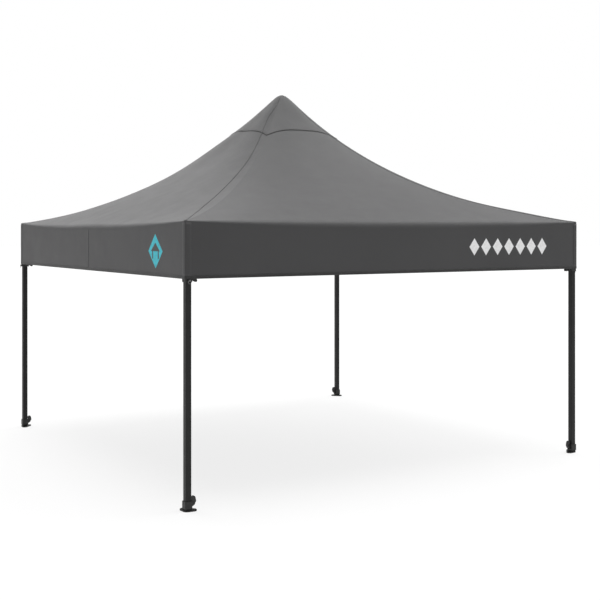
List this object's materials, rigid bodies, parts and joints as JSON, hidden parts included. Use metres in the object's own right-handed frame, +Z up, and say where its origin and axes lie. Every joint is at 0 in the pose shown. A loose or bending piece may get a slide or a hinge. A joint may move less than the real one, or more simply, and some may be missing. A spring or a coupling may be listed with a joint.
{
  "type": "pop-up gazebo",
  "caption": "Square pop-up gazebo with a peaked fabric canopy and straight valance on a folding lattice frame with a sprung mast and telescopic, lockable legs",
  "frame": {"origin": "on the ground, at the centre between the four feet", "axes": "+Z up along the mast, +X towards the right side and +Y towards the back side"},
  "size_m": [3.023, 3.023, 2.546],
  "materials": {
    "canopy_fabric": "matte",
    "frame_tube": "satin",
    "black_nylon": "matte",
    "steel": "satin",
    "black_paint": "satin"
  },
  "bodies": {
    "upper_frame": {"upper_hub": "black_nylon", "canopy": "canopy_fabric"},
    "right_cross_bar_down": {"right_cross_bar_down": "frame_tube"},
    "right_lower_mid_bracket": {"right_lower_mid_bracket": "black_nylon"},
    "right_cross_bar_up": {"right_cross_bar_up": "frame_tube"},
    "right_upper_mid_bracket": {"right_upper_mid_bracket": "black_nylon"},
    "right_side_bar_up_a": {"right_side_bar_up_a": "frame_tube"},
    "right_side_bar_down_a": {"right_side_bar_down_a": "frame_tube"},
    "right_side_bar_up_b": {"right_side_bar_up_b": "frame_tube"},
    "right_side_bar_down_b": {"right_side_bar_down_b": "frame_tube"},
    "back_right_leg": {"back_right_outer_leg": "frame_tube", "back_right_lock_collar": "black_nylon"},
    "back_right_slider": {"back_right_slider": "black_nylon"},
    "mast": {"mast_with_lower_hub": "frame_tube"},
    "mast_head": {"mast_head": "black_nylon"},
    "back_cross_bar_down": {"back_cross_bar_down": "frame_tube"},
    "back_lower_mid_bracket": {"back_lower_mid_bracket": "black_nylon"},
    "back_cross_bar_up": {"back_cross_bar_up": "frame_tube"},
    "back_upper_mid_bracket": {"back_upper_mid_bracket": "black_nylon"},
    "back_side_bar_up_a": {"back_side_bar_up_a": "frame_tube"},
    "back_side_bar_down_a": {"back_side_bar_down_a": "frame_tube"},
    "back_side_bar_up_b": {"back_side_bar_up_b": "frame_tube"},
    "back_side_bar_down_b": {"back_side_bar_down_b": "frame_tube"},
    "back_left_leg": {"back_left_outer_leg": "frame_tube", "back_left_lock_collar": "black_nylon"},
    "back_left_slider": {"back_left_slider": "black_nylon"},
    "left_cross_bar_down": {"left_cross_bar_down": "frame_tube"},
    "left_lower_mid_bracket": {"left_lower_mid_bracket": "black_nylon"},
    "left_cross_bar_up": {"left_cross_bar_up": "frame_tube"},
    "left_upper_mid_bracket": {"left_upper_mid_bracket": "black_nylon"},
    "left_side_bar_up_a": {"left_side_bar_up_a": "frame_tube"},
    "left_side_bar_down_a": {"left_side_bar_down_a": "frame_tube"},
    "left_side_bar_up_b": {"left_side_bar_up_b": "frame_tube"},
    "left_side_bar_down_b": {"left_side_bar_down_b": "frame_tube"},
    "front_left_leg": {"front_left_outer_leg": "frame_tube", "front_left_lock_collar": "black_nylon"},
    "front_left_slider": {"front_left_slider": "black_nylon"},
    "front_cross_bar_down": {"front_cross_bar_down": "frame_tube"},
    "front_lower_mid_bracket": {"front_lower_mid_bracket": "black_nylon"},
    "front_cross_bar_up": {"front_cross_bar_up": "frame_tube"},
    "front_upper_mid_bracket": {"front_upper_mid_bracket": "black_nylon"},
    "front_side_bar_up_a": {"front_side_bar_up_a": "frame_tube"},
    "front_side_bar_down_a": {"front_side_bar_down_a": "frame_tube"},
    "front_side_bar_up_b": {"front_side_bar_up_b": "frame_tube"},
    "front_side_bar_down_b": {"front_side_bar_down_b": "frame_tube"},
    "front_right_leg": {"front_right_outer_leg": "frame_tube", "front_right_lock_collar": "black_nylon"},
    "front_right_slider": {"front_right_slider": "black_nylon"},
    "back_right_inner_leg": {"back_right_inner_leg": "black_paint"},
    "back_right_lock_lever": {"back_right_lock_lever": "black_nylon"},
    "back_right_pull_pin": {"back_right_pull_pin": "steel"},
    "back_left_inner_leg": {"back_left_inner_leg": "black_paint"},
    "back_left_lock_lever": {"back_left_lock_lever": "black_nylon"},
    "back_left_pull_pin": {"back_left_pull_pin": "steel"},
    "front_left_inner_leg": {"front_left_inner_leg": "black_paint"},
    "front_left_lock_lever": {"front_left_lock_lever": "black_nylon"},
    "front_left_pull_pin": {"front_left_pull_pin": "steel"},
    "front_right_inner_leg": {"front_right_inner_leg": "black_paint"},
    "front_right_lock_lever": {"front_right_lock_lever": "black_nylon"},
    "front_right_pull_pin": {"front_right_pull_pin": "steel"}
  },
  "joints": [
    {"name": "frame_fold", "type": "hinge", "parent": "upper_frame", "child": "right_cross_bar_down", "pos_m": [0.03, 0.0055, 1.565], "axis": [0, 1, 0], "range_deg": [0, 77], "deforming": ["canopy"]},
    {"name": "right_lower_mid_hinge", "type": "hinge", "parent": "right_cross_bar_down", "child": "right_lower_mid_bracket", "pos_m": [1.446, 0.0055, 1.29], "axis": [0, -1, 0], "range_deg": [0, 77]},
    {"name": "right_cross_bar_scissor", "type": "hinge", "parent": "right_cross_bar_down", "child": "right_cross_bar_up", "pos_m": [0.738, -0.0055, 1.4275], "axis": [0, -1, 0], "range_deg": [0, 154]},
    {"name": "right_upper_mid_hinge", "type": "hinge", "parent": "right_cross_bar_up", "child": "right_upper_mid_bracket", "pos_m": [1.446, -0.0055, 1.565], "axis": [0, 1, 0], "range_deg": [0, 77]},
    {"name": "right_side_bar_up_a_hinge", "type": "hinge", "parent": "right_lower_mid_bracket", "child": "right_side_bar_up_a", "pos_m": [1.4815, -0.018, 1.29], "axis": [-1, 0, 0], "range_deg": [0, 77]},
    {"name": "right_side_bar_down_a_hinge", "type": "hinge", "parent": "right_upper_mid_bracket", "child": "right_side_bar_down_a", "pos_m": [1.4705, -0.018, 1.565], "axis": [1, 0, 0], "range_deg": [0, 77]},
    {"name": "right_side_bar_up_b_hinge", "type": "hinge", "parent": "right_lower_mid_bracket", "child": "right_side_bar_up_b", "pos_m": [1.4815, 0.018, 1.29], "axis": [1, 0, 0], "range_deg": [0, 77]},
    {"name": "right_side_bar_down_b_hinge", "type": "hinge", "parent": "right_upper_mid_bracket", "child": "right_side_bar_down_b", "pos_m": [1.4705, 0.018, 1.565], "axis": [-1, 0, 0], "range_deg": [0, 77]},
    {"name": "back_right_leg_hinge", "type": "hinge", "parent": "right_side_bar_up_b", "child": "back_right_leg", "pos_m": [1.476, 1.434, 1.565], "axis": [-1, 0, 0], "range_deg": [0, 77]},
    {"name": "back_right_slider_hinge", "type": "hinge", "parent": "right_side_bar_down_b", "child": "back_right_slider", "pos_m": [1.476, 1.434, 1.29], "axis": [1, 0, 0], "range_deg": [0, 77]},
    {"name": "mast_hub_hinge", "type": "hinge", "parent": "right_cross_bar_up", "child": "mast", "pos_m": [0.03, 0, 1.29], "axis": [0, 1, 0], "range_deg": [0, 77]},
    {"name": "mast_extension", "type": "slide", "parent": "mast", "child": "mast_head", "axis": [0, 0, 1], "range_m": [0, 0.26878]},
    {"name": "back_cross_bar_down_hinge", "type": "hinge", "parent": "upper_frame", "child": "back_cross_bar_down", "pos_m": [-0.0055, 0.03, 1.565], "axis": [-1, 0, 0], "range_deg": [0, 77]},
    {"name": "back_lower_mid_hinge", "type": "hinge", "parent": "back_cross_bar_down", "child": "back_lower_mid_bracket", "pos_m": [-0.0055, 1.446, 1.29], "axis": [1, 0, 0], "range_deg": [0, 77]},
    {"name": "back_cross_bar_scissor", "type": "hinge", "parent": "back_cross_bar_down", "child": "back_cross_bar_up", "pos_m": [0.0055, 0.738, 1.4275], "axis": [1, 0, 0], "range_deg": [0, 154]},
    {"name": "back_upper_mid_hinge", "type": "hinge", "parent": "back_cross_bar_up", "child": "back_upper_mid_bracket", "pos_m": [0.0055, 1.446, 1.565], "axis": [-1, 0, 0], "range_deg": [0, 77]},
    {"name": "back_side_bar_up_a_hinge", "type": "hinge", "parent": "back_lower_mid_bracket", "child": "back_side_bar_up_a", "pos_m": [0.018, 1.4815, 1.29], "axis": [0, -1, 0], "range_deg": [0, 77]},
    {"name": "back_side_bar_down_a_hinge", "type": "hinge", "parent": "back_upper_mid_bracket", "child": "back_side_bar_down_a", "pos_m": [0.018, 1.4705, 1.565], "axis": [0, 1, 0], "range_deg": [0, 77]},
    {"name": "back_side_bar_up_b_hinge", "type": "hinge", "parent": "back_lower_mid_bracket", "child": "back_side_bar_up_b", "pos_m": [-0.018, 1.4815, 1.29], "axis": [0, 1, 0], "range_deg": [0, 77]},
    {"name": "back_side_bar_down_b_hinge", "type": "hinge", "parent": "back_upper_mid_bracket", "child": "back_side_bar_down_b", "pos_m": [-0.018, 1.4705, 1.565], "axis": [0, -1, 0], "range_deg": [0, 77]},
    {"name": "back_left_leg_hinge", "type": "hinge", "parent": "back_side_bar_up_b", "child": "back_left_leg", "pos_m": [-1.434, 1.476, 1.565], "axis": [0, -1, 0], "range_deg": [0, 77]},
    {"name": "back_left_slider_hinge", "type": "hinge", "parent": "back_side_bar_down_b", "child": "back_left_slider", "pos_m": [-1.434, 1.476, 1.29], "axis": [0, 1, 0], "range_deg": [0, 77]},
    {"name": "left_cross_bar_down_hinge", "type": "hinge", "parent": "upper_frame", "child": "left_cross_bar_down", "pos_m": [-0.03, -0.0055, 1.565], "axis": [0, -1, 0], "range_deg": [0, 77]},
    {"name": "left_lower_mid_hinge", "type": "hinge", "parent": "left_cross_bar_down", "child": "left_lower_mid_bracket", "pos_m": [-1.446, -0.0055, 1.29], "axis": [0, 1, 0], "range_deg": [0, 77]},
    {"name": "left_cross_bar_scissor", "type": "hinge", "parent": "left_cross_bar_down", "child": "left_cross_bar_up", "pos_m": [-0.738, 0.0055, 1.4275], "axis": [0, 1, 0], "range_deg": [0, 154]},
    {"name": "left_upper_mid_hinge", "type": "hinge", "parent": "left_cross_bar_up", "child": "left_upper_mid_bracket", "pos_m": [-1.446, 0.0055, 1.565], "axis": [0, -1, 0], "range_deg": [0, 77]},
    {"name": "left_side_bar_up_a_hinge", "type": "hinge", "parent": "left_lower_mid_bracket", "child": "left_side_bar_up_a", "pos_m": [-1.4815, 0.018, 1.29], "axis": [1, 0, 0], "range_deg": [0, 77]},
    {"name": "left_side_bar_down_a_hinge", "type": "hinge", "parent": "left_upper_mid_bracket", "child": "left_side_bar_down_a", "pos_m": [-1.4705, 0.018, 1.565], "axis": [-1, 0, 0], "range_deg": [0, 77]},
    {"name": "left_side_bar_up_b_hinge", "type": "hinge", "parent": "left_lower_mid_bracket", "child": "left_side_bar_up_b", "pos_m": [-1.4815, -0.018, 1.29], "axis": [-1, 0, 0], "range_deg": [0, 77]},
    {"name": "left_side_bar_down_b_hinge", "type": "hinge", "parent": "left_upper_mid_bracket", "child": "left_side_bar_down_b", "pos_m": [-1.4705, -0.018, 1.565], "axis": [1, 0, 0], "range_deg": [0, 77]},
    {"name": "front_left_leg_hinge", "type": "hinge", "parent": "left_side_bar_up_b", "child": "front_left_leg", "pos_m": [-1.476, -1.434, 1.565], "axis": [1, 0, 0], "range_deg": [0, 77]},
    {"name": "front_left_slider_hinge", "type": "hinge", "parent": "left_side_bar_down_b", "child": "front_left_slider", "pos_m": [-1.476, -1.434, 1.29], "axis": [-1, 0, 0], "range_deg": [0, 77]},
    {"name": "front_cross_bar_down_hinge", "type": "hinge", "parent": "upper_frame", "child": "front_cross_bar_down", "pos_m": [0.0055, -0.03, 1.565], "axis": [1, 0, 0], "range_deg": [0, 77]},
    {"name": "front_lower_mid_hinge", "type": "hinge", "parent": "front_cross_bar_down", "child": "front_lower_mid_bracket", "pos_m": [0.0055, -1.446, 1.29], "axis": [-1, 0, 0], "range_deg": [0, 77]},
    {"name": "front_cross_bar_scissor", "type": "hinge", "parent": "front_cross_bar_down", "child": "front_cross_bar_up", "pos_m": [-0.0055, -0.738, 1.4275], "axis": [-1, 0, 0], "range_deg": [0, 154]},
    {"name": "front_upper_mid_hinge", "type": "hinge", "parent": "front_cross_bar_up", "child": "front_upper_mid_bracket", "pos_m": [-0.0055, -1.446, 1.565], "axis": [1, 0, 0], "range_deg": [0, 77]},
    {"name": "front_side_bar_up_a_hinge", "type": "hinge", "parent": "front_lower_mid_bracket", "child": "front_side_bar_up_a", "pos_m": [-0.018, -1.4815, 1.29], "axis": [0, 1, 0], "range_deg": [0, 77]},
    {"name": "front_side_bar_down_a_hinge", "type": "hinge", "parent": "front_upper_mid_bracket", "child": "front_side_bar_down_a", "pos_m": [-0.018, -1.4705, 1.565], "axis": [0, -1, 0], "range_deg": [0, 77]},
    {"name": "front_side_bar_up_b_hinge", "type": "hinge", "parent": "front_lower_mid_bracket", "child": "front_side_bar_up_b", "pos_m": [0.018, -1.4815, 1.29], "axis": [0, -1, 0], "range_deg": [0, 77]},
    {"name": "front_side_bar_down_b_hinge", "type": "hinge", "parent": "front_upper_mid_bracket", "child": "front_side_bar_down_b", "pos_m": [0.018, -1.4705, 1.565], "axis": [0, 1, 0], "range_deg": [0, 77]},
    {"name": "front_right_leg_hinge", "type": "hinge", "parent": "front_side_bar_up_b", "child": "front_right_leg", "pos_m": [1.434, -1.476, 1.565], "axis": [0, 1, 0], "range_deg": [0, 77]},
    {"name": "front_right_slider_hinge", "type": "hinge", "parent": "front_side_bar_down_b", "child": "front_right_slider", "pos_m": [1.434, -1.476, 1.29], "axis": [0, -1, 0], "range_deg": [0, 77]},
    {"name": "back_right_leg_extension", "type": "slide", "parent": "back_right_leg", "child": "back_right_inner_leg", "axis": [0, 0, -1], "range_m": [0, 0.7]},
    {"name": "back_right_lock_lever_hinge", "type": "hinge", "parent": "back_right_leg", "child": "back_right_lock_lever", "pos_m": [1.4415, 1.476, 0.04], "axis": [0, -1, 0], "range_deg": [0, 80], "stiffness_Nm_per_rad": 0.6, "springref_deg": -11.46},
    {"name": "back_right_pull_pin_slide", "type": "slide", "parent": "back_right_slider", "child": "back_right_pull_pin", "axis": [0, 1, 0], "range_m": [0, 0.008], "stiffness_N_per_m": 500, "springref_m": -0.006},
    {"name": "back_left_leg_extension", "type": "slide", "parent": "back_left_leg", "child": "back_left_inner_leg", "axis": [0, 0, -1], "range_m": [0, 0.7]},
    {"name": "back_left_lock_lever_hinge", "type": "hinge", "parent": "back_left_leg", "child": "back_left_lock_lever", "pos_m": [-1.4415, 1.476, 0.04], "axis": [0, 1, 0], "range_deg": [0, 80], "stiffness_Nm_per_rad": 0.6, "springref_deg": -11.46},
    {"name": "back_left_pull_pin_slide", "type": "slide", "parent": "back_left_slider", "child": "back_left_pull_pin", "axis": [-1, 0, 0], "range_m": [0, 0.008], "stiffness_N_per_m": 500, "springref_m": -0.006},
    {"name": "front_left_leg_extension", "type": "slide", "parent": "front_left_leg", "child": "front_left_inner_leg", "axis": [0, 0, -1], "range_m": [0, 0.7]},
    {"name": "front_left_lock_lever_hinge", "type": "hinge", "parent": "front_left_leg", "child": "front_left_lock_lever", "pos_m": [-1.4415, -1.476, 0.04], "axis": [0, 1, 0], "range_deg": [0, 80], "stiffness_Nm_per_rad": 0.6, "springref_deg": -11.46},
    {"name": "front_left_pull_pin_slide", "type": "slide", "parent": "front_left_slider", "child": "front_left_pull_pin", "axis": [0, -1, 0], "range_m": [0, 0.008], "stiffness_N_per_m": 500, "springref_m": -0.006},
    {"name": "front_right_leg_extension", "type": "slide", "parent": "front_right_leg", "child": "front_right_inner_leg", "axis": [0, 0, -1], "range_m": [0, 0.7]},
    {"name": "front_right_lock_lever_hinge", "type": "hinge", "parent": "front_right_leg", "child": "front_right_lock_lever", "pos_m": [1.4415, -1.476, 0.04], "axis": [0, -1, 0], "range_deg": [0, 80], "stiffness_Nm_per_rad": 0.6, "springref_deg": -11.46},
    {"name": "front_right_pull_pin_slide", "type": "slide", "parent": "front_right_slider", "child": "front_right_pull_pin", "axis": [1, 0, 0], "range_m": [0, 0.008], "stiffness_N_per_m": 500, "springref_m": -0.006}
  ],
  "couplings": [
    {"joint": "right_lower_mid_hinge", "follows": "frame_fold", "ratio": 1},
    {"joint": "right_cross_bar_scissor", "follows": "frame_fold", "ratio": 2},
    {"joint": "right_upper_mid_hinge", "follows": "frame_fold", "ratio": 1},
    {"joint": "right_side_bar_up_a_hinge", "follows": "frame_fold", "ratio": 1},
    {"joint": "right_side_bar_down_a_hinge", "follows": "frame_fold", "ratio": 1},
    {"joint": "right_side_bar_up_b_hinge", "follows": "frame_fold", "ratio": 1},
    {"joint": "right_side_bar_down_b_hinge", "follows": "frame_fold", "ratio": 1},
    {"joint": "back_right_leg_hinge", "follows": "frame_fold", "ratio": 1},
    {"joint": "back_right_slider_hinge", "follows": "frame_fold", "ratio": 1},
    {"joint": "mast_hub_hinge", "follows": "frame_fold", "ratio": 1},
    {"joint": "mast_extension", "follows": "frame_fold", "m_per_rad": 0.2},
    {"joint": "back_cross_bar_down_hinge", "follows": "frame_fold", "ratio": 1},
    {"joint": "back_lower_mid_hinge", "follows": "frame_fold", "ratio": 1},
    {"joint": "back_cross_bar_scissor", "follows": "frame_fold", "ratio": 2},
    {"joint": "back_upper_mid_hinge", "follows": "frame_fold", "ratio": 1},
    {"joint": "back_side_bar_up_a_hinge", "follows": "frame_fold", "ratio": 1},
    {"joint": "back_side_bar_down_a_hinge", "follows": "frame_fold", "ratio": 1},
    {"joint": "back_side_bar_up_b_hinge", "follows": "frame_fold", "ratio": 1},
    {"joint": "back_side_bar_down_b_hinge", "follows": "frame_fold", "ratio": 1},
    {"joint": "back_left_leg_hinge", "follows": "frame_fold", "ratio": 1},
    {"joint": "back_left_slider_hinge", "follows": "frame_fold", "ratio": 1},
    {"joint": "left_cross_bar_down_hinge", "follows": "frame_fold", "ratio": 1},
    {"joint": "left_lower_mid_hinge", "follows": "frame_fold", "ratio": 1},
    {"joint": "left_cross_bar_scissor", "follows": "frame_fold", "ratio": 2},
    {"joint": "left_upper_mid_hinge", "follows": "frame_fold", "ratio": 1},
    {"joint": "left_side_bar_up_a_hinge", "follows": "frame_fold", "ratio": 1},
    {"joint": "left_side_bar_down_a_hinge", "follows": "frame_fold", "ratio": 1},
    {"joint": "left_side_bar_up_b_hinge", "follows": "frame_fold", "ratio": 1},
    {"joint": "left_side_bar_down_b_hinge", "follows": "frame_fold", "ratio": 1},
    {"joint": "front_left_leg_hinge", "follows": "frame_fold", "ratio": 1},
    {"joint": "front_left_slider_hinge", "follows": "frame_fold", "ratio": 1},
    {"joint": "front_cross_bar_down_hinge", "follows": "frame_fold", "ratio": 1},
    {"joint": "front_lower_mid_hinge", "follows": "frame_fold", "ratio": 1},
    {"joint": "front_cross_bar_scissor", "follows": "frame_fold", "ratio": 2},
    {"joint": "front_upper_mid_hinge", "follows": "frame_fold", "ratio": 1},
    {"joint": "front_side_bar_up_a_hinge", "follows": "frame_fold", "ratio": 1},
    {"joint": "front_side_bar_down_a_hinge", "follows": "frame_fold", "ratio": 1},
    {"joint": "front_side_bar_up_b_hinge", "follows": "frame_fold", "ratio": 1},
    {"joint": "front_side_bar_down_b_hinge", "follows": "frame_fold", "ratio": 1},
    {"joint": "front_right_leg_hinge", "follows": "frame_fold", "ratio": 1},
    {"joint": "front_right_slider_hinge", "follows": "frame_fold", "ratio": 1}
  ]
}
